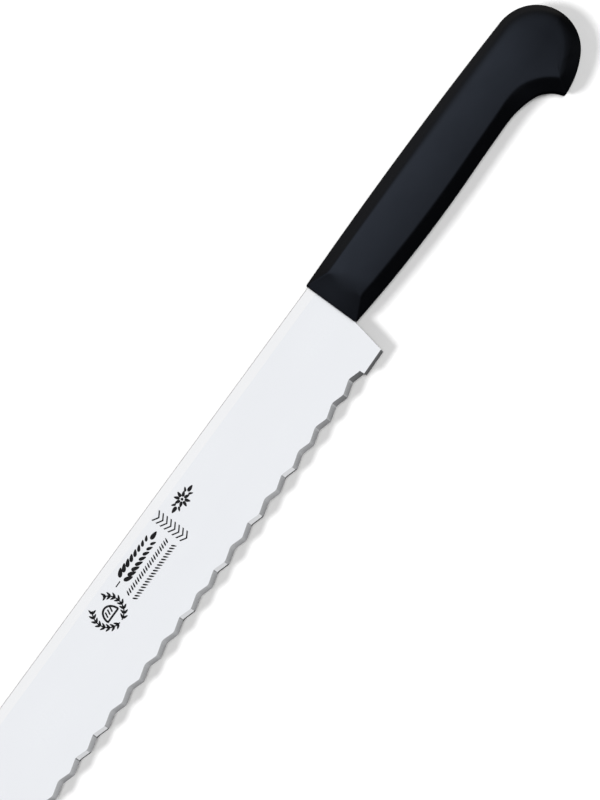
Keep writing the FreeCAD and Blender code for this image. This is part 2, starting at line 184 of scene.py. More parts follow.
def bump(tree, surface, height, strength, depth):
    relief = add_node(tree, "ShaderNodeBump")
    relief.inputs["Strength"].default_value = strength
    relief.inputs["Distance"].default_value = depth * MM
    join(tree, height, relief, "Height")
    join(tree, relief.outputs["Normal"], surface, "Normal")


def shade_color(tree, surface, base_color, factor):
    """Base colour multiplied by a grey factor."""
    scale = add_node(tree, "ShaderNodeVectorMath", operation="SCALE")
    scale.inputs[0].default_value = base_color
    join(tree, factor, scale, "Scale")
    join(tree, scale.outputs["Vector"], surface, "Base Color")


# ------------------------------------------------------------------------------------- materials


def ground_steel(name, base_color, roughness, features, relief, painted_heel_shade=False):
    """Steel with fine grinding lines. features is the size of a line along x, y and z.

    A painted heel shade darkens the colour most as far as the first scallop and fades out a few scallops
    on.
    """
    material, tree, surface = new_material(name, base_color, 1.0, roughness)
    lines = noise_at(tree, features, 4.0)
    cloud_size = (38.0, 16.0, 16.0)
    cloud = noise_at(tree, cloud_size, 2.0)
    line_tone = mapped(tree, lines, 0.985, 1.015)
    cloud_tone = mapped(tree, cloud, 0.99, 1.01)
    tone = product(tree, line_tone, cloud_tone)
    if painted_heel_shade:
        # Painted shade: the steel's colour darkens towards the heel.
        unshaded_at, darkest_at, heel_shade_tone = -54.0, -13.0, 0.3
        tone = product(tree, tone, along_knife(tree, "X", 1.0, heel_shade_tone, unshaded_at, darkest_at))
    shade_color(tree, surface, base_color, tone)
    line_roughness = mapped(tree, lines, roughness * 0.93, roughness * 1.07)
    cloud_roughness = mapped(tree, cloud, 0.96, 1.04)
    join(tree, product(tree, line_roughness, cloud_roughness), surface, "Roughness")
    bump(tree, surface, lines, 0.35, relief)
    return material


def on_belly_bevel(tree):
    """1 on the bevels under the grip, 0 above them and on the flat facets."""
    grip, belly = -13.5, -17.0
    facet_height, bevel_height = 8.6 * MM, 7.6 * MM
    below_grip = along_knife(tree, "Y", 0.0, 1.0, grip, belly)
    from_middle = distance_from(tree, object_axis(tree, "Z"), KNIFE_CORNER.z)
    off_facet = mapped(tree, from_middle, 0.0, 1.0, (facet_height, bevel_height))
    return product(tree, below_grip, off_facet)


def behind_front_slope(tree):
    """0 on the slope at the handle's front and 1 on the facet behind it. The border leans a little."""
    across_border = Vector((1.0, 0.28, 0.0))
    slope_end, facet_start = 5.2, 11.2
    low = knife_point(slope_end, 0, 0).dot(across_border)
    high = knife_point(facet_start, 0, 0).dot(across_border)
    place = add_node(tree, "ShaderNodeTexCoord").outputs["Object"]
    return axis_share(tree, place, across_border, low, high)


def painted_sheen(tree):
    """Painted sheen and shade: how much the moulding reflects at each place, most on the facet's spine
    side, less short of the butt, on the front slope and on the bevels under the grip.
    """
    belly, back = -17.0, -4.0
    near_butt, at_butt = 109.0, 124.0
    behind_slope = behind_front_slope(tree)
    belly_bevel_shade = product(tree, on_belly_bevel(tree), behind_slope)
    across = along_knife(tree, "Y", 0.375, 0.57, belly, back)
    along = along_knife(tree, "X", 1.0, 0.68, near_butt, at_butt)
    front = mapped(tree, behind_slope, 0.68, 1.0, (0.0, 1.0))
    bevel = mapped(tree, belly_bevel_shade, 1.0, 0.45, (0.0, 1.0))
    return product(tree, across, along, front, bevel)


def satin_plastic():
    """Hard black plastic from a finely eroded mould, a little worn to a gloss in patches."""
    base_color = (0.0012, 0.0013, 0.0016)
    roughness, uneven = 0.37, 0.035
    material, tree, surface = new_material("satin_black_plastic", base_color, 0.0, roughness)
    surface.inputs["IOR"].default_value = 1.43
    surface.inputs["Specular Tint"].default_value = (0.66, 0.77, 1.0, 1.0)
    grain = noise_at(tree, (0.32, 0.32, 0.32), 3.0)
    wear = noise_at(tree, (13.0, 7.0, 7.0), 3.0)
    shade_color(tree, surface, base_color, mapped(tree, wear, 0.85, 1.2))
    join(tree, mapped(tree, wear, roughness + uneven, roughness - uneven), surface, "Roughness")
    # Painted sheen and shade: the strength of the reflection is set by place.
    join(tree, painted_sheen(tree), surface, "Specular IOR Level")
    bump(tree, surface, grain, 0.25, 0.02)
    return material


def etched_oxide():
    """The dark oxide that electro-etching leaves, a little uneven."""
    base_color = (0.01, 0.01, 0.011)
    material, tree, surface = new_material("etched_oxide", base_color, 0.0, 0.6)
    surface.inputs["IOR"].default_value = 1.15
    blotch = noise_at(tree, (0.5, 0.5, 0.5), 3.0)
    shade_color(tree, surface, base_color, mapped(tree, blotch, 0.6, 1.6))
    return material


def seamless_paper():
    """Matt white paper. An index of 1 keeps it from shining at all."""
    base_color = (0.93, 0.93, 0.93)
    material, tree, surface = new_material("seamless_paper", base_color, 0.0, 0.9)
    surface.inputs["IOR"].default_value = 1.0
    fibre = noise_at(tree, (6.0, 6.0, 6.0), 2.0)
    shade_color(tree, surface, base_color, mapped(tree, fibre, 0.99, 1.01))
    return material


# ------------------------------------------------------------------------------------ mesh helpers

SAME_POINT = 0.0002
SHORTEST_EDGE = 0.0001


def add_points(mesh_data, points):
    return [mesh_data.verts.new(knife_point(*point)) for point in points]


def finish_mesh(name, mesh_data, materials):
    """A piece from a bmesh: doubles merged, faces turned outwards, all of it smooth."""
    bmesh.ops.remove_doubles(mesh_data, verts=mesh_data.verts, dist=SAME_POINT * MM)
    bmesh.ops.dissolve_degenerate(mesh_data, edges=mesh_data.edges, dist=SHORTEST_EDGE * MM)
    bmesh.ops.recalc_face_normals(mesh_data, faces=mesh_data.faces)
    mesh = bpy.data.meshes.new(name)
    mesh_data.to_mesh(mesh)
    mesh_data.free()
    for material in materials:
        mesh.materials.append(material)
    mesh.shade_smooth()
    piece = bpy.data.objects.new(name, mesh)
    bpy.context.scene.collection.objects.link(piece)
    return piece


def cut(piece, tool):
    """Take the tool away from the piece, and delete the tool."""
    modifier = piece.modifiers.new("cut", "BOOLEAN")
    modifier.operation = "DIFFERENCE"
    modifier.solver = "EXACT"
    modifier.object = tool
    graph = bpy.context.evaluated_depsgraph_get()
    result = bpy.data.meshes.new_from_object(piece.evaluated_get(graph))
    piece.modifiers.clear()
    piece.data = result
    bpy.data.objects.remove(tool)


def crease(piece, angle, also=None):
    """Mark as sharp the edges that bend by more than an angle, and those that a test picks."""
    mesh_data = bmesh.new()
    mesh_data.from_mesh(piece.data)
    for edge in mesh_data.edges:
        bends = len(edge.link_faces) == 2 and edge.calc_face_angle() > angle
        edge.smooth = not (bends or (also is not None and also(edge)))
    mesh_data.to_mesh(piece.data)
    mesh_data.free()


def bridge(mesh_data, first, second, material_of=None):
    """Quads between two closed rings of vertices."""
    count = len(first)
    for i in range(count):
        k = (i + 1) % count
        face = mesh_data.faces.new((first[i], first[k], second[k], second[i]))
        if material_of is not None:
            face.material_index = material_of(i)


# ------------------------------------------------------------------------------------------ blade

# The blade is stamped an allowance wider than the bowed line through the scallops' tips, and both its
# faces taper from the flat strip by the spine. The wheel then grinds the serrated side. The spine's
# easing starts where the blade is EASING_FROM_WIDTH wide and is full at EASING_FULL_WIDTH.
BLADE_LENGTH = 300.0
BLADE_WIDTH = 36.55
WIDEST_AT = -136.0
BOW_RADIUS = 5500.0
EDGE_ALLOWANCE = 1.0
FLAT_STRIP = 3.6
HALF_STEEL = 1.0
HALF_EDGE = 0.43
SPINE_EASING = 0.25
EASING_FROM_WIDTH = 1.0
EASING_FULL_WIDTH = 5.0
TIP_RADIUS = 60.0
NOSE_RADIUS = 1.5
NOSE_TRIM = 0.85
HEEL_TOP = 21.7
HEEL_SLANT = 2.6
HEEL_FLAT = 10.6
TAPER = (HALF_STEEL - HALF_EDGE) / (BLADE_WIDTH - FLAT_STRIP)

BEVEL_ANGLE = math.radians(24.0)
PLAIN_BEVEL = 1.2
SCALLOP_PITCH = 10.6
SCALLOP_DEPTH = 1.6
SCALLOP_COUNT = 26
EDGE_LAND = 0.03
HONED_WIDTH = 0.2
HONED_ANGLE = math.radians(31.0)
GULLET_OFFSET = 0.4
GULLET_BLEND = 0.9
TIP_BLEND = 0.6
WHEEL_DEPTH = SCALLOP_DEPTH * math.sin(BEVEL_ANGLE)
TIP_DROP = WHEEL_DEPTH / SCALLOP_PITCH * TIP_BLEND
SERRATION_START = -(HEEL_SLANT + HEEL_FLAT)
SERRATION_END = SERRATION_START - SCALLOP_COUNT * SCALLOP_PITCH
SHOULDER = 0.12

TANG_TOP = 4.0
TANG_WIDTH = 13.5
TANG_LENGTH = 105.0
TANG_FULL_AT = 6.0
TANG_STEP = 0.3
TANG_HOLE_RADIUS = 3.0
TANG_HOLES = [22.0, 52.0, 82.0]
BETWEEN_TANG_HOLES = [35.0, 65.0]
TANG_MIDDLE = TANG_TOP + TANG_WIDTH / 2
TANG_BOTTOM = TANG_TOP + TANG_WIDTH

# Each scallop has a flank on the heel's side and one on the tip's side. Counted from the heel, from 0,
# some heel-side flanks met the wheel at a flatter angle and got a wider honed strip. The plain bevel
# at the heel and the first few heel-side flanks get painted shade: their steel's colour is darkened.
FLAT_SCALLOPS = (4, 6, 8, 10, 15, 16, 20, 23)
FLAT_ANGLE = math.radians(15.5)
FLAT_HONED_WIDTH = 0.35
SHADED_SCALLOPS = 4

# Rows of points down one side of the blade: the spine's easing, then the rows that blade_ring names.
EASING_STEPS = 8
STRIP_ROW = EASING_STEPS + 1
TANG_TOP_ROW = EASING_STEPS + 2
TANG_BOTTOM_ROW = EASING_STEPS + 4
BEVEL_ROW = EASING_STEPS + 5
ROW_COUNT = EASING_STEPS + 8
SCALLOP_STEPS = 26
PLAIN_STEPS = 8
TIP_STEPS = 30
NOSE_STEPS = 14
ROUND_STEPS = 16
ROW_TOLERANCE = 0.01
BLADE_SHARP_BEND = math.radians(12.5)

STRIP, FACE, BEVEL, SHADED_BEVEL = range(4)


def tips_depth(x):
    """Depth of the bowed line through the scallops' tips."""
    return BLADE_WIDTH - BOW_RADIUS + math.sqrt(BOW_RADIUS ** 2 - (x - WIDEST_AT) ** 2)


def half_thickness(depth):
    return HALF_STEEL - TAPER * max(depth - FLAT_STRIP, 0.0)


def spine_arc_middle():
    tip_x = -(BLADE_LENGTH + NOSE_TRIM)
    tip_depth = tips_depth(tip_x) + EDGE_ALLOWANCE
    return tip_x + math.sqrt(TIP_RADIUS ** 2 - (TIP_RADIUS - tip_depth) ** 2)


def nose_middle():
    """Middle of the small arc that joins the spine's curve to the edge line, found step by step."""
    reach = TIP_RADIUS - NOSE_RADIUS
    x = -BLADE_LENGTH
    for _ in range(6):
        depth = tips_depth(x) + EDGE_ALLOWANCE - NOSE_RADIUS
        x = SPINE_ARC_AT - math.sqrt(reach ** 2 - (TIP_RADIUS - depth) ** 2)
    return x, depth


SPINE_ARC_AT = spine_arc_middle()
NOSE_AT, NOSE_DEPTH = nose_middle()
NOSE_TOUCHES_SPINE = NOSE_AT + NOSE_RADIUS * (NOSE_AT - SPINE_ARC_AT) / (TIP_RADIUS - NOSE_RADIUS)


def nose_half_height(x):
    return math.sqrt(max(NOSE_RADIUS ** 2 - (x - NOSE_AT) ** 2, 0.0))


def top_depth(x):
    """Depth of the blade's upper outline: straight spine, then the curve down to the nose."""
    if x >= SPINE_ARC_AT:
        return 0.0
    if x >= NOSE_TOUCHES_SPINE:
        return TIP_RADIUS - math.sqrt(TIP_RADIUS ** 2 - (x - SPINE_ARC_AT) ** 2)
    return NOSE_DEPTH - nose_half_height(x)


def wheel_level(x):
    """How far the ground bevel stands above the plane through the scallops' tips, square to it."""
    plain = 2 * HALF_EDGE * math.cos(BEVEL_ANGLE)
    plain -= (PLAIN_BEVEL - EDGE_ALLOWANCE) * math.sin(BEVEL_ANGLE)
    if x > SERRATION_START + SHOULDER / 2:
        return plain
    if x < SERRATION_END:
        return min(SERRATION_END - x - TIP_DROP, plain)
    number = clamp(int((SERRATION_START - x) / SCALLOP_PITCH), 0, SCALLOP_COUNT - 1)
    middle = SERRATION_START - SCALLOP_PITCH * (number + 0.5)
    from_gullet = x - middle - GULLET_OFFSET
    run = SCALLOP_PITCH / 2 - math.copysign(GULLET_OFFSET, from_gullet)
    slope = WHEEL_DEPTH / run
    up_flank = min(abs(from_gullet), run)
    level = slope * up_flank - WHEEL_DEPTH
    level += slope * GULLET_BLEND / 2 * max(1.0 - up_flank / GULLET_BLEND, 0.0) ** 2
    return level - TIP_DROP * max(1.0 - (run - up_flank) / TIP_BLEND, 0.0) ** 2


def cutting_edge(x):
    """Depth of the cutting edge, and the height of the bevel there."""
    level = wheel_level(x) / math.cos(BEVEL_ANGLE)
    tips = tips_depth(x)
    rise = math.tan(BEVEL_ANGLE)
    depth = min(tips + EDGE_ALLOWANCE, tips + (level - EDGE_LAND) / (rise + TAPER))
    return depth, level - HALF_EDGE + (tips - depth) * rise


def lower_depth(x):
    """Depth of the blade's lower outline: heel, cutting edge, nose."""
    if x > -HEEL_SLANT:
        heel_corner = tips_depth(-HEEL_SLANT) + EDGE_ALLOWANCE
        return blend(HEEL_TOP, heel_corner, -x / HEEL_SLANT)
    if x < NOSE_AT:
        return NOSE_DEPTH + nose_half_height(x)
    return cutting_edge(x)[0]


def heel_side_flank(x):
    """Number of the scallop whose flank on the heel's side is at x, -1 at the heel, or a large number."""
    if x > SERRATION_START:
        return -1
    number = int((SERRATION_START - x) / SCALLOP_PITCH)
    gullet_x = SERRATION_START - SCALLOP_PITCH * (number + 0.5) + GULLET_OFFSET
    return number if x > gullet_x else SCALLOP_COUNT


def bevel_lines(x):
    """Depths of the bevel's upper line and of the honed line beside the edge, and the bevel's lift."""
    depth, height = cutting_edge(x)
    rise = math.tan(BEVEL_ANGLE)
    lift = HONED_WIDTH * (math.tan(HONED_ANGLE) - rise)
    upper = height + lift + depth * rise - HALF_STEEL - TAPER * FLAT_STRIP
    honed_width = FLAT_HONED_WIDTH if heel_side_flank(x) in FLAT_SCALLOPS else HONED_WIDTH
    return upper / (rise - TAPER), depth - honed_width, lift


def front_height(x, depth):
    """Height of the serrated side: the lowest of the face, the bevel and the honed strip."""
    edge_depth, edge_height = cutting_edge(x)
    from_edge = edge_depth - depth
    upper, honed_line, lift = bevel_lines(x)
    if heel_side_flank(x) in FLAT_SCALLOPS and upper < depth < honed_line + ROW_TOLERANCE:
        return half_thickness(upper) - (depth - upper) * math.tan(FLAT_ANGLE)
    bevel = edge_height + lift + from_edge * math.tan(BEVEL_ANGLE)
    honed = edge_height + from_edge * math.tan(HONED_ANGLE)
    return min(half_thickness(depth), bevel, honed)


def blade_stations():
    """Places along the blade from the handle to the nose, close together where the outline curves."""
    bevel_upper = bevel_lines(-HEEL_SLANT)[0]
    heel_corner = tips_depth(-HEEL_SLANT) + EDGE_ALLOWANCE
    bevel_meets_heel = -HEEL_SLANT * (bevel_upper - HEEL_TOP) / (heel_corner - HEEL_TOP)
    stations = [0.0, -0.6, -1.2, -1.8, bevel_meets_heel, -HEEL_SLANT]
    plain_end = SERRATION_START + SHOULDER
    for i in range(1, PLAIN_STEPS + 1):
        stations.append(blend(-HEEL_SLANT, plain_end, i / PLAIN_STEPS))
    for i in range(SCALLOP_COUNT * SCALLOP_STEPS + 1):
        stations.append(SERRATION_START - SCALLOP_PITCH * i / SCALLOP_STEPS)
    for i in range(1, TIP_STEPS + 1):
        stations.append(blend(SERRATION_END, NOSE_AT, i / TIP_STEPS))
    for i in range(1, NOSE_STEPS + 1):
        stations.append(NOSE_AT - NOSE_RADIUS * math.sin(math.pi / 2 * i / NOSE_STEPS))
    return stations


def inward_direction(before, after):
    """Unit direction into the blade, square to its upper outline between a point and one further on."""
    along_x, along_y = after[0] - before[0], after[1] - before[1]
    length = math.hypot(along_x, along_y)
    return -along_y / length, along_x / length


def blade_ring(x, inward):
    """Points of the blade's section at x, down its serrated side and down its plain one."""
    top, bottom = top_depth(x), lower_depth(x)
    eased = (bottom - top - EASING_FROM_WIDTH) / (EASING_FULL_WIDTH - EASING_FROM_WIDTH)
    easing = SPINE_EASING * smooth_step(eased)
    bevel_upper, honed_line, _ = bevel_lines(x)
    front, back = [], []
    for i in range(EASING_STEPS + 1):
        turn = math.pi / 2 * i / EASING_STEPS
        inset = easing * (1.0 - math.cos(turn))
        drop = easing * (1.0 - math.sin(turn))
        depth = min(top - inward[1] * inset, bottom)
        place = x + inward[0] * inset
        height = half_thickness(depth) - drop
        front.append((place, -depth, height))
        back.append((place, -depth, -height))
    face_rows = (FLAT_STRIP, TANG_TOP, TANG_MIDDLE, TANG_BOTTOM, bevel_upper, honed_line, bottom)
    for row in face_rows:
        depth = clamp(row, min(top + easing, bottom), bottom)
        front.append((x, -depth, front_height(x, depth)))
        back.append((x, -depth, -half_thickness(depth)))
    return front, back


def tang_half_width(x):
    end_radius = TANG_WIDTH / 2
    past = x - (TANG_LENGTH - end_radius)
    if past <= 0:
        return end_radius
    return math.sqrt(max(end_radius ** 2 - past ** 2, 0.0))


def tang_ring(x):
    """Points of the tang's section at x, in the same order as the blade's ring."""
    half = tang_half_width(x)
    front, back = [], []
    for depth in (TANG_MIDDLE - half, TANG_MIDDLE, TANG_MIDDLE + half):
        height = half_thickness(depth) if x <= TANG_FULL_AT else HALF_STEEL
        front.append((x, -depth, height))
        back.append((x, -depth, -height))
    return front, back


def tang_stations():
    end_radius = TANG_WIDTH / 2
    round_start = TANG_LENGTH - end_radius
    stations = [TANG_FULL_AT, TANG_FULL_AT + TANG_STEP, *BETWEEN_TANG_HOLES, round_start]
    for i in range(1, ROUND_STEPS + 1):
        stations.append(round_start + end_radius * math.sin(math.pi / 2 * i / ROUND_STEPS))
    return stations


def drill_tang(piece):
    """The three holes that anchor the moulding."""
    drill_sides, radius = 64, TANG_HOLE_RADIUS * MM
    for x in TANG_HOLES:
        tool_data = bmesh.new()
        bmesh.ops.create_cone(
            tool_data, cap_ends=True, segments=drill_sides, depth=4 * HALF_STEEL * MM,
            radius1=radius, radius2=radius)
        bmesh.ops.translate(tool_data, verts=tool_data.verts, vec=knife_point(x, -TANG_MIDDLE, 0.0))
        cut(piece, finish_mesh("tang_drill", tool_data, []))


def steel_between(x):
    """A function from the number of a face, round the blade at x, to the number of its steel."""
    # Painted shade: the plain heel bevel and the first few heel-side flanks get the darkened steel.
    ground = SHADED_BEVEL if heel_side_flank(x) < SHADED_SCALLOPS else BEVEL

    def steel_of(i):
        row = i if i < ROW_COUNT else 2 * ROW_COUNT - 2 - i
        if i < ROW_COUNT - 1 and row >= BEVEL_ROW:
            return ground
        return STRIP if row < STRIP_ROW else FACE

    return steel_of


def add_blade_skin(mesh_data):
    """The faces round the blade. Returns the points beside the handle, of both sides."""
    stations = blade_stations()
    outline = [(x, -top_depth(x)) for x in stations]
    rings = []
    for i, x in enumerate(stations):
        before, after = outline[max(i - 1, 0)], outline[min(i + 1, len(outline) - 1)]
        front, back = blade_ring(x, inward_direction(before, after))
        rings.append((add_points(mesh_data, front), add_points(mesh_data, back)))
    for i in range(len(rings) - 1):
        near, far = rings[i], rings[i + 1]
        middle_x = (stations[i] + stations[i + 1]) / 2
        bridge(mesh_data, near[0] + near[1][::-1], far[0] + far[1][::-1], steel_between(middle_x))
    return rings[0]


def add_tang(mesh_data, front, back):
    """The shoulders above and below the tang, then the tang, whose last ring closes to a line."""
    mesh_data.faces.new(front[:TANG_TOP_ROW + 1] + back[:TANG_TOP_ROW + 1][::-1])
    mesh_data.faces.new(front[TANG_BOTTOM_ROW:] + back[TANG_BOTTOM_ROW:][::-1])
    tang_rows = slice(TANG_TOP_ROW, TANG_BOTTOM_ROW + 1)
    near = front[tang_rows] + back[tang_rows][::-1]
    for x in tang_stations():
        tang_front, tang_back = tang_ring(x)
        far = add_points(mesh_data, tang_front + tang_back[::-1])
        bridge(mesh_data, near, far, lambda i: FACE)
        near = far


def on_strip_line(edge):
    """Whether an edge lies on the line where the flat strip by the spine ends."""
    tolerance = 0.001
    depths = [(KNIFE_CORNER.y - vertex.co.y) / MM for vertex in edge.verts]
    return all(abs(depth - FLAT_STRIP) < tolerance for depth in depths)


def make_blade(steels):
    mesh_data = bmesh.new()
    front, back = add_blade_skin(mesh_data)
    add_tang(mesh_data, front, back)
    blade = finish_mesh("blade_steel_ground", mesh_data, steels)
    drill_tang(blade)
    crease(blade, BLADE_SHARP_BEND, on_strip_line)
    return blade


def make_tang_tool():
    """The tang's own shape, to be taken out of the handle, which keeps the plugs in its holes."""
    clear_of_front = -1.0
    mesh_data = bmesh.new()
    near = None
    for x in [clear_of_front] + tang_stations():
        tang_front, tang_back = tang_ring(x)
        far = add_points(mesh_data, tang_front + tang_back[::-1])
        if near is None:
            mesh_data.faces.new(far)
        else:
            bridge(mesh_data, near, far)
        near = far
    tool = finish_mesh("tang_tool", mesh_data, [])
    drill_tang(tool)
    return tool


# ----------------------------------------------------------------------------------------- handle

HANDLE_LENGTH = 135.0
HALF_HANDLE = 9.0
HALF_BAND = 4.0
CROWN_HEIGHT = 1.62
CROWN_AT = 52.0
CROWN_RADIUS = 1936.0
BUTT_RADIUS = 16.45
BUTT_TURN = math.radians(61.0)
BAND_CROWN = 0.2
PARTING_HEIGHT = 0.06
PARTING_HALF_WIDTH = 0.14
PARTING_FOOT = PARTING_HALF_WIDTH + 0.06
BAND_ROUNDING = 0.6
FACET_CROWN = 0.16
STRAIGHT = None

# Points along each side of the outlines and round each corner, and rows up the handle's side. A soft
# bend takes up at most LONGEST_SETBACK of each line that it joins, as a share.
CORNER_STEPS = 8
SIDE_STEPS = [96, 34, 30, 26, 20, 16, 14, 60, 20]
BAND_HEIGHTS = (0.0, PARTING_HALF_WIDTH, PARTING_FOOT, 1.1, 2.2, HALF_BAND - BAND_ROUNDING)
BAND_BEND_STEPS = 5
BEVEL_ROWS = (0.33, 0.67)
FACET_BEND_STEPS = 8
FACET_ROWS = (0.12, 0.28, 0.46, 0.64, 0.82, 0.93)
LONGEST_SETBACK = 0.48
HANDLE_SHARP_BEND = math.radians(38.0)


def crown_line(x):
    return CROWN_HEIGHT - CROWN_RADIUS + math.sqrt(CROWN_RADIUS ** 2 - (x - CROWN_AT) ** 2)


BUTT_X = HANDLE_LENGTH - BUTT_RADIUS
BUTT_Y = crown_line(BUTT_X) - BUTT_RADIUS

# The handle's widest outline, from the front's upper corner round the butt, as in the CAD model.
# A side is straight or an arc: its radius, and -1 where it bulges outwards or 1 where it is hollow.
BAND_CORNERS = [
    (0.0, crown_line(0.0)),
    (BUTT_X, BUTT_Y + BUTT_RADIUS),
    (HANDLE_LENGTH, BUTT_Y),
    (BUTT_X + BUTT_RADIUS * math.cos(BUTT_TURN), BUTT_Y - BUTT_RADIUS * math.sin(BUTT_TURN)),
    (111.4, -34.35),
    (103.2, -25.4),
    (91.0, -23.3),
    (74.0, -23.6),
    (0.0, -21.7),
]
BAND_SIDES = [
    (CROWN_RADIUS, -1), (BUTT_RADIUS, -1), (BUTT_RADIUS, -1), (32.7, -1), (12.2, 1),
    (36.5, 1), STRAIGHT, (560.0, -1), STRAIGHT,
]
BAND_CORNER_ROUNDING = [0.9, 0.0, 0.0, 1.0, 0.5, 1.2, 2.5, 2.5, 0.9]

# The flat facet's outline, corner for corner with the one above.
FACET_CORNERS = [
    (8.6, -2.85), (117.0, -3.4), (132.0, -15.9), (120.6, -26.3), (114.9, -28.6),
    (102.5, -18.35), (93.0, -18.1), (76.0, -18.5), (8.6, -17.1),
]
FACET_SIDES = [
    (3860.0, -1), (16.3, -1), (16.3, -1), STRAIGHT, (21.0, 1),
    (36.5, 1), STRAIGHT, (560.0, -1), (20.0, 1),
]
FACET_CORNER_ROUNDING = [1.2, 0.0, 0.0, 1.5, 0.5, 1.8, 2.5, 2.5, 1.2]

# How far the facet blends into the bevel at each corner: crisp along the grip, soft round the butt.
# The front is soft in its middle and crisp at its corners. A larger FRONT_REACH widens the soft part.
FACET_SOFTNESS = [1.1, 3.6, 6.5, 2.6, 1.1, 0.8, 0.7, 0.7, 1.1]
FRONT_SOFTNESS = 4.0
FRONT_REACH = 1.1

# The middle line of the facet, and how far along it the facet's surface runs to from each corner.
FACET_SPINE = [(22.0, -9.9), (95.0, -9.9), (112.0, -11.0), (121.0, -16.5), (121.0, -22.0), (117.5, -25.5)]
FACET_SPINE_SHARE = [0.0, 0.84, 0.92, 0.985, 1.0, 0.76, 0.665, 0.52, 0.0]


def side_path(start, end, side):
    """Length of one side of an outline, and a function from a share of it to a point."""
    first, last = Vector(start), Vector(end)
    chord = last - first
    if side is STRAIGHT:
        return chord.length, lambda share: first + chord * share
    radius, turn = side
    left = Vector((-chord.y, chord.x)).normalized()
    to_centre = math.sqrt(radius ** 2 - (chord.length / 2) ** 2)
    centre = (first + last) / 2 + left * (to_centre * turn)
    angle_first = math.atan2(first.y - centre.y, first.x - centre.x)
    sweep = 2 * math.asin(chord.length / 2 / radius) * turn

    def on_arc(share):
        angle = angle_first + sweep * share
        return centre + Vector((math.cos(angle), math.sin(angle))) * radius

    return abs(sweep) * radius, on_arc


def walk_outline(corners, sides, rounding):
    """Points round an outline with rounded corners.

    Returns (point, corner place) pairs, where a corner place of 2.5 is halfway from corner 2 to 3.
    """
    count = len(sides)
    paths = []
    for i, side in enumerate(sides):
        paths.append(side_path(corners[i], corners[(i + 1) % count], side))
    walked = []
    for i, (length, path) in enumerate(paths):
        k = (i + 1) % count
        first, last = rounding[i] / length, 1.0 - rounding[k] / length
        for step in range(SIDE_STEPS[i]):
            share = blend(first, last, step / SIDE_STEPS[i])
            walked.append((path(share), i + share))
        if rounding[k] == 0.0:
            continue
        next_length, next_path = paths[k]
        before, corner = path(last), Vector(corners[k])
        after = next_path(rounding[k] / next_length)
        for step in range(CORNER_STEPS):
            share = step / CORNER_STEPS
            near, far = before.lerp(corner, share), corner.lerp(after, share)
            walked.append((near.lerp(far, share), i + 1.0))
    return walked


def at_corner_place(values, place, eased):
    """A value given at each corner, eased or in proportion between them."""
    first = int(place) % len(values)
    share = place - int(place)
    if eased:
        share = smooth_step(share)
    return blend(values[first], values[(first + 1) % len(values)], share)


def along_facet_spine(share):
    lengths = [math.dist(a, b) for a, b in zip(FACET_SPINE, FACET_SPINE[1:])]
    left = share * sum(lengths)
    for length, start, end in zip(lengths, FACET_SPINE, FACET_SPINE[1:]):
        if left <= length:
            return Vector(start).lerp(Vector(end), left / length)
        left -= length
    return Vector(FACET_SPINE[-1])


def outward_directions(points):
    """Unit directions out of a closed outline that is walked clockwise."""
    count = len(points)
    directions = []
    for i in range(count):
        along = points[(i + 1) % count] - points[i - 1]
        directions.append(Vector((-along.y, along.x)).normalized())
    return directions


def rounded_bend(start, bend, end, setback, steps):
    """Points of a soft bend that leaves start-bend and joins bend-end, each a setback from the bend."""
    to_start, to_end = start - bend, end - bend
    before = bend + to_start.normalized() * min(setback, to_start.length * LONGEST_SETBACK)
    after = bend + to_end.normalized() * min(setback, to_end.length * LONGEST_SETBACK)
    points = []
    for step in range(steps + 1):
        share = step / steps
        points.append(before.lerp(bend, share).lerp(bend.lerp(after, share), share))
    return points


def handle_profile(rim, outward, facet, middle, softness, on_front):
    """Points from the parting line up over the band and the bevel to the middle of the facet."""
    crown = 0.0 if on_front else BAND_CROWN
    ridge = 0.0 if on_front else PARTING_HEIGHT

    def band_point(z):
        inset = crown * (z / HALF_BAND) ** 2
        if z > PARTING_HALF_WIDTH:
            inset += ridge
        place = rim - outward * inset
        return Vector((place.x, place.y, z))

    points = [band_point(z) for z in BAND_HEIGHTS]
    band_edge = band_point(HALF_BAND)
    facet_level = HALF_HANDLE - FACET_CROWN
    facet_edge = Vector((facet.x, facet.y, facet_level))
    facet_middle = Vector((middle.x, middle.y, facet_level))
    points += rounded_bend(points[-1], band_edge, facet_edge, BAND_ROUNDING, BAND_BEND_STEPS)[1:]
    bend = rounded_bend(band_edge, facet_edge, facet_middle, softness, FACET_BEND_STEPS)
    for share in BEVEL_ROWS:
        points.append(points[-1].lerp(bend[0], share))
    points += bend
    run = facet_middle - bend[-1]
    for share in FACET_ROWS:
        point = bend[-1] + run * share
        point.z += FACET_CROWN * (1.0 - (1.0 - share) ** 2)
        points.append(point)
    points[-1].z = HALF_HANDLE
    return points


def handle_columns():
    """Profiles from the parting line to the facet's middle, all the way round the handle."""
    rim_walk = walk_outline(BAND_CORNERS, BAND_SIDES, BAND_CORNER_ROUNDING)
    facet_walk = walk_outline(FACET_CORNERS, FACET_SIDES, FACET_CORNER_ROUNDING)
    outward = outward_directions([point for point, _ in rim_walk])
    front_side = len(BAND_SIDES) - 1
    columns = []
    for (rim, place), (facet, _), direction in zip(rim_walk, facet_walk, outward):
        on_front = front_side < place < front_side + 1
        softness = at_corner_place(FACET_SOFTNESS, place, eased=True)
        if on_front:
            middle_of_front = 1.0 - abs(place - front_side - 0.5) * 2.0
            softness = blend(softness, FRONT_SOFTNESS, smooth_step(middle_of_front * FRONT_REACH))
        middle = along_facet_spine(at_corner_place(FACET_SPINE_SHARE, place, eased=False))
        columns.append(handle_profile(rim, direction, facet, middle, softness, on_front))
    return columns


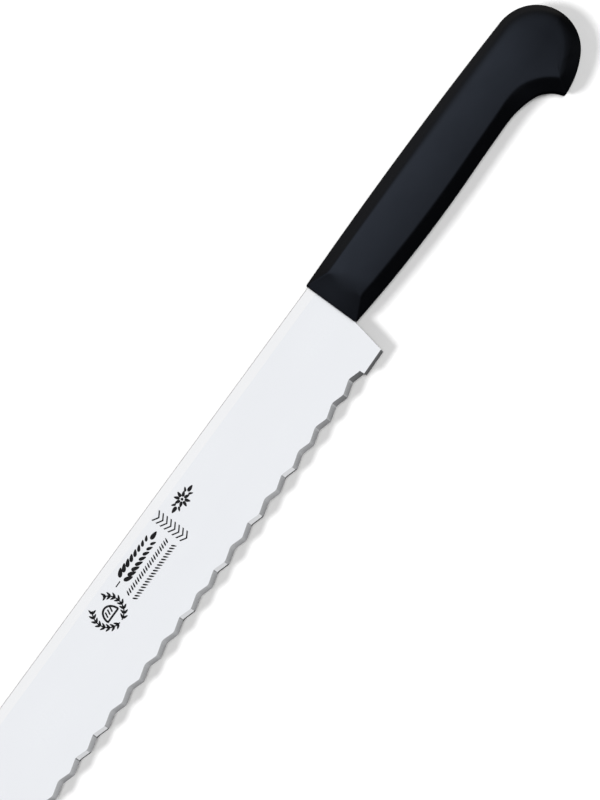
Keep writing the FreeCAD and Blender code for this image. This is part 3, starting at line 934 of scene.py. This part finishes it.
def make_handle(plastic):
    columns = handle_columns()
    mesh_data = bmesh.new()
    middle_ring = add_points(mesh_data, [column[0] for column in columns])
    for side in (1.0, -1.0):
        near = middle_ring
        for k in range(1, len(columns[0])):
            far = add_points(mesh_data, [(c[k].x, c[k].y, c[k].z * side) for c in columns])
            bridge(mesh_data, near, far)
            near = far
        mesh_data.faces.new(near)
    handle = finish_mesh("handle_moulding", mesh_data, [plastic])
    cut(handle, make_tang_tool())
    crease(handle, HANDLE_SHARP_BEND)
    return handle


# ------------------------------------------------------------------------------------ etched marks

MARK_HEIGHT = 0.02
MARK_SINK = 0.02
MARK_SHARP_BEND = math.radians(30.0)


def polar(x, y, angle, reach_x, reach_y=None):
    """A point at an angle from x, y, on a circle or on an ellipse."""
    if reach_y is None:
        reach_y = reach_x
    return x + reach_x * math.cos(angle), y + reach_y * math.sin(angle)


def almond(x, y, length, width, angle, steps=14):
    """A grain of wheat or a petal: pointed at its far end, about its own middle."""
    points = []
    for i in range(steps):
        turn = 2 * math.pi * i / steps
        along = length / 2 * math.cos(turn)
        across = width / 2 * math.sin(turn) * (1.0 - 0.35 * math.cos(turn))
        points.append((
            x + along * math.cos(angle) - across * math.sin(angle),
            y + along * math.sin(angle) + across * math.cos(angle)))
    return points


def bar(x_start, y_start, x_end, y_end, width):
    along_x, along_y = x_end - x_start, y_end - y_start
    scale = width / 2 / math.hypot(along_x, along_y)
    side_x, side_y = -along_y * scale, along_x * scale
    return [
        (x_start - side_x, y_start - side_y), (x_end - side_x, y_end - side_y),
        (x_end + side_x, y_end + side_y), (x_start + side_x, y_start + side_y),
    ]


def arc_band(x, y, radii, width, angle_start, angle_end, steps=22):
    """Part of an elliptical ring. radii are its middle line's half-width and height."""
    outer, inner = [], []
    for i in range(steps + 1):
        angle = blend(angle_start, angle_end, i / steps)
        for points, out in ((outer, width / 2), (inner, -width / 2)):
            points.append(polar(x, y, angle, radii[0] + out, radii[1] + out))
    return outer + inner[::-1]


def wheat_ear(x, y, angle, stem, pairs, spacing, grain_length, grain_width, lean):
    """A stem from x, y in the direction of angle, then pairs of grains and one at the end."""
    stem_width, first_pair, shrink = 0.45, 0.55, 0.05
    off = grain_width * 0.62
    shapes = [bar(x, y, *polar(x, y, angle, stem), stem_width)]
    for i in range(pairs):
        along_x, along_y = polar(x, y, angle, stem + spacing * (i + first_pair))
        size = 1.0 - shrink * i
        for side in (1.0, -1.0):
            tilt = angle + side * lean
            root_x, root_y = polar(along_x, along_y, angle + side * math.pi / 2, off)
            grain_x, grain_y = polar(root_x, root_y, tilt, grain_length * size * 0.42)
            shapes.append(almond(grain_x, grain_y, grain_length * size, grain_width * size, tilt))
    tip_x, tip_y = polar(x, y, angle, stem + spacing * pairs + grain_length * 0.62)
    shapes.append(almond(tip_x, tip_y, grain_length, grain_width, angle))
    return shapes


def make_mark(name, shapes, oxide):
    """Thin closed solids on the serrated side's ground face, one for each shape."""
    mesh_data = bmesh.new()
    for shape in shapes:
        low, high = [], []
        for x, y in shape:
            face = half_thickness(-y)
            low.append((x, y, face - MARK_SINK))
            high.append((x, y, face + MARK_HEIGHT))
        low_ring, high_ring = add_points(mesh_data, low), add_points(mesh_data, high)
        bridge(mesh_data, low_ring, high_ring)
        mesh_data.faces.new(low_ring[::-1])
        mesh_data.faces.new(high_ring)
    mark = finish_mesh(name, mesh_data, [oxide])
    crease(mark, MARK_SHARP_BEND)
    return mark


def badge_shapes():
    """A loaf with three slashes between two wheat branches."""
    x, y, radius = -137.9, -11.0, 5.75
    leaves, leaf_length, leaf_width = 8, 2.1, 0.85
    shapes = []
    for side in (1.0, -1.0):
        foot, head = math.radians(-84.0), math.radians(56.0)
        if side < 0:
            foot, head = math.pi - foot, math.pi - head
        shapes.append(arc_band(x, y, (radius, radius), 0.5, foot, head))
        for i in range(leaves):
            angle = blend(foot, head, (i + 0.8) / leaves)
            for lean, reach in ((0.75, 0.72), (-0.75, -0.6)):
                tilt = angle + side * (math.pi / 2 - lean)
                leaf_x, leaf_y = polar(x, y, angle, radius + reach)
                shapes.append(almond(leaf_x, leaf_y, leaf_length, leaf_width, tilt))
    loaf_foot, half_loaf = y - 2.2, 3.3
    shapes.append(bar(x - half_loaf, loaf_foot, x + half_loaf, loaf_foot, 0.75))
    shapes.append(arc_band(x, loaf_foot, (3.1, 4.0), 0.8, 0.0, math.pi))
    for step in (-1.35, 0.0, 1.35):
        shapes.append(bar(x + step - 0.45, loaf_foot + 1.0, x + step + 0.55, loaf_foot + 2.9, 0.6))
    return shapes


def spray_shapes():
    """A bold ear of wheat that lies along the blade."""
    return wheat_ear(
        x=-129.0, y=-7.95, angle=0.0, stem=2.6, pairs=8, spacing=2.3,
        grain_length=3.7, grain_width=1.6, lean=0.56)


def border_shapes(y, lean):
    """A row of slanting seeds, in twos."""
    start, end, pitch = -128.9, -103.8, 2.5
    seed_length, seed_width, seed_points = 2.2, 0.62, 10
    shapes = []
    for i in range(int((end - start) / pitch)):
        for step in (0.3, 0.78):
            seed_x = start + pitch * (i + step)
            shapes.append(almond(seed_x, y, seed_length, seed_width, lean, seed_points))
    return shapes


def chevron_shapes():
    """A column of chevrons across the blade."""
    x, top, bottom, half = -99.4, -3.9, -18.2, 2.3
    count, rise, line = 8, 0.85, 0.62
    shapes = []
    for i in range(count):
        y = blend(top, bottom, (i + 0.5) / count)
        shapes.append([
            (x - half, y + rise), (x, y - rise + line / 2), (x + half, y + rise),
            (x + half, y + rise - line), (x, y - rise - line / 2), (x - half, y + rise - line),
        ])
    return shapes


def rosette_shapes():
    """Eight petals round a dot, between pairs of leaves."""
    x, y, petals = -88.95, -8.5, 8
    shapes = [almond(x, y, 1.1, 1.1, 0.0, 12)]
    for i in range(petals):
        angle = 2 * math.pi / petals * (i + 0.5)
        petal_x, petal_y = polar(x, y, angle, 2.0)
        shapes.append(almond(petal_x, petal_y, 2.3, 1.15, angle))
    for side in (1.0, -1.0):
        ahead = 0.0 if side > 0 else math.pi
        shapes.append(almond(x + side * 4.9, y, 2.9, 1.35, ahead))
        for up in (1.0, -1.0):
            tilt = ahead + side * up * 0.75
            shapes.append(almond(x + side * 3.55, y + up * 1.25, 1.9, 0.85, tilt))
    return shapes


def make_marks(oxide):
    return [
        make_mark("etched_loaf_badge", badge_shapes(), oxide),
        make_mark("etched_wheat_spray", spray_shapes(), oxide),
        make_mark("etched_border_upper", border_shapes(-12.8, 1.05), oxide),
        make_mark("etched_border_lower", border_shapes(-16.1, -1.05), oxide),
        make_mark("etched_chevrons", chevron_shapes(), oxide),
        make_mark("etched_rosette", rosette_shapes(), oxide),
    ]


# ------------------------------------------------------------------------------- stage and camera

FLOOR_SIZE = 6.0
FLOOR_GAP = 0.02

# The key light travels along SUN_TRAVEL, turned up by SUN_SLOPE from straight down. Both suns' widths
# are angles, which set how soft their shadows are.
SUN_STRENGTH = 2.0
SUN_WIDTH = 0.25
SUN_TRAVEL = Vector((0.815, -0.579, 0.0))
SUN_SLOPE = math.radians(35.5)
OVERHEAD_STRENGTH = 1.7
OVERHEAD_WIDTH = math.radians(12.0)

# The world's light. A patch of it fades in about its axis from the first cosine of its edge to the
# second. DIFFUSE_FILL is what diffuse light sees of the world, and PALE_BACKGROUND what the camera sees.
TOP_LIGHT = (1.06, 1.07, 1.09)
TOP_AXIS = Vector((-0.05, 0.17, 0.98)).normalized()
TOP_EDGE = (0.25, 0.97)
BRIGHT_WALL = (0.31, 0.29, 0.265)
DARK_WALL = (0.0, 0.0, 0.0)
WALL_AXIS = Vector((0.7, 0.7, 0.0)).normalized()
WALL_EDGE = (0.25, 1.0)
PANEL_LIGHT = (0.3, 0.302, 0.307)
PANEL_AXIS = Vector((-0.12, -0.72, 0.683)).normalized()
PANEL_EDGE = (0.82, 0.978)
LOW_PATCH_LIGHT = (0.5, 0.5, 0.51)
LOW_PATCH_AXES = [Vector((0.68, -0.68, 0.27)), Vector((-0.68, 0.68, 0.27))]
LOW_PATCH_EDGE = (0.9, 0.97)
DIFFUSE_FILL = (0.19, 0.19, 0.19)
PALE_BACKGROUND = (0.93, 0.93, 0.93)

# The camera looks straight down at the aim. At the height of the steel's face the picture, which is
# taller than wide, shows VIEW_HEIGHT from its top to its bottom.
LENS = 135.0
SENSOR = 36.0
VIEW_HEIGHT = 290.7
VIEW_TURN = math.radians(-53.83)
AIM_X = -34.6
AIM_Y = -21.84


def make_floor(paper):
    mesh_data = bmesh.new()
    bmesh.ops.create_grid(mesh_data, x_segments=2, y_segments=2, size=FLOOR_SIZE / 2)
    floor = finish_mesh("paper_floor", mesh_data, [paper])
    floor.location.z = HANDLE_LOW.z - FLOOR_GAP * MM
    floor.visible_glossy = False


def light_room():
    """The world's light: a bright ceiling, and walls that are dim towards the spine and the butt.

    A soft panel lights the bevels, and a low patch on each side keeps the blade from going black when
    it is seen from low down. Diffuse light and the camera each see one even grey instead.
    """
    world = bpy.data.worlds.new("soft_room")
    bpy.context.scene.world = world
    world.use_nodes = True
    tree = world.node_tree
    direction = add_node(tree, "ShaderNodeTexCoord").outputs["Generated"]
    towards_wall = axis_share(tree, direction, WALL_AXIS, *WALL_EDGE)
    room = mixed_color(tree, towards_wall, DARK_WALL, BRIGHT_WALL)
    patches = [(PANEL_AXIS, PANEL_EDGE, PANEL_LIGHT), (TOP_AXIS, TOP_EDGE, TOP_LIGHT)]
    patches += [(axis, LOW_PATCH_EDGE, LOW_PATCH_LIGHT) for axis in LOW_PATCH_AXES]
    for axis, edge, light in patches:
        room = mixed_color(tree, axis_share(tree, direction, axis, *edge), room, light)
    light_path = add_node(tree, "ShaderNodeLightPath").outputs
    room = mixed_color(tree, light_path["Is Diffuse Ray"], room, DIFFUSE_FILL)
    room = mixed_color(tree, light_path["Is Camera Ray"], room, PALE_BACKGROUND)
    join(tree, room, tree.nodes["Background"], "Color")


def add_sun(name, strength, width, travel):
    lamp = bpy.data.lights.new(name, "SUN")
    lamp.energy = strength
    lamp.angle = width
    sun = bpy.data.objects.new(name, lamp)
    sun.rotation_euler = travel.to_track_quat("-Z", "Y").to_euler()
    sun.visible_glossy = False
    bpy.context.scene.collection.objects.link(sun)


def light_scene():
    light_room()
    travel = SUN_TRAVEL * math.sin(SUN_SLOPE) + Vector((0, 0, -math.cos(SUN_SLOPE)))
    down = Vector((0, 0, -1))
    add_sun("key", SUN_STRENGTH, SUN_WIDTH, travel)
    add_sun("overhead", OVERHEAD_STRENGTH, OVERHEAD_WIDTH, down)


def place_camera():
    """Straight above the knife, turned so that the knife points to the picture's lower left."""
    lens = bpy.data.cameras.new("camera")
    lens.lens = LENS
    lens.sensor_width = SENSOR
    lens.clip_start = 0.01
    camera = bpy.data.objects.new("camera", lens)
    distance = VIEW_HEIGHT * LENS / SENSOR
    camera.location = knife_point(AIM_X, AIM_Y, HALF_STEEL + distance)
    camera.rotation_euler = (0.0, 0.0, VIEW_TURN)
    bpy.context.scene.collection.objects.link(camera)
    bpy.context.scene.camera = camera
    bpy.context.scene.view_settings.view_transform = "Standard"


# --------------------------------------------------------------------------------------- assembly


def blade_steels():
    """One for each of STRIP, FACE, BEVEL and SHADED_BEVEL. Only the strip's lines run along the blade."""
    bevel_color, bevel_roughness = (0.78, 0.785, 0.79), 0.24
    bevel_lines_size, bevel_relief = (0.16, 3.0, 3.0), 0.008
    bevel = (bevel_color, bevel_roughness, bevel_lines_size, bevel_relief)
    return [
        ground_steel("strip_steel", (0.84, 0.838, 0.838), 0.25, (6.0, 0.1, 0.1), 0.002),
        ground_steel("face_steel", (0.808, 0.816, 0.831), 0.25, (0.09, 5.0, 5.0), 0.003),
        ground_steel("bevel_steel", *bevel),
        # This bevel steel has shade painted into its colour near the heel.
        ground_steel("heel_shaded_bevel_steel", *bevel, painted_heel_shade=True),
    ]


place_camera()
light_scene()
make_floor(seamless_paper())

blade = make_blade(blade_steels())
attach(blade, "root")
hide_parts("blade_with_tang")

handle = make_handle(satin_plastic())
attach(handle, "root")
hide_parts("moulded_handle")

for mark in make_marks(etched_oxide()):
    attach(mark, "root")
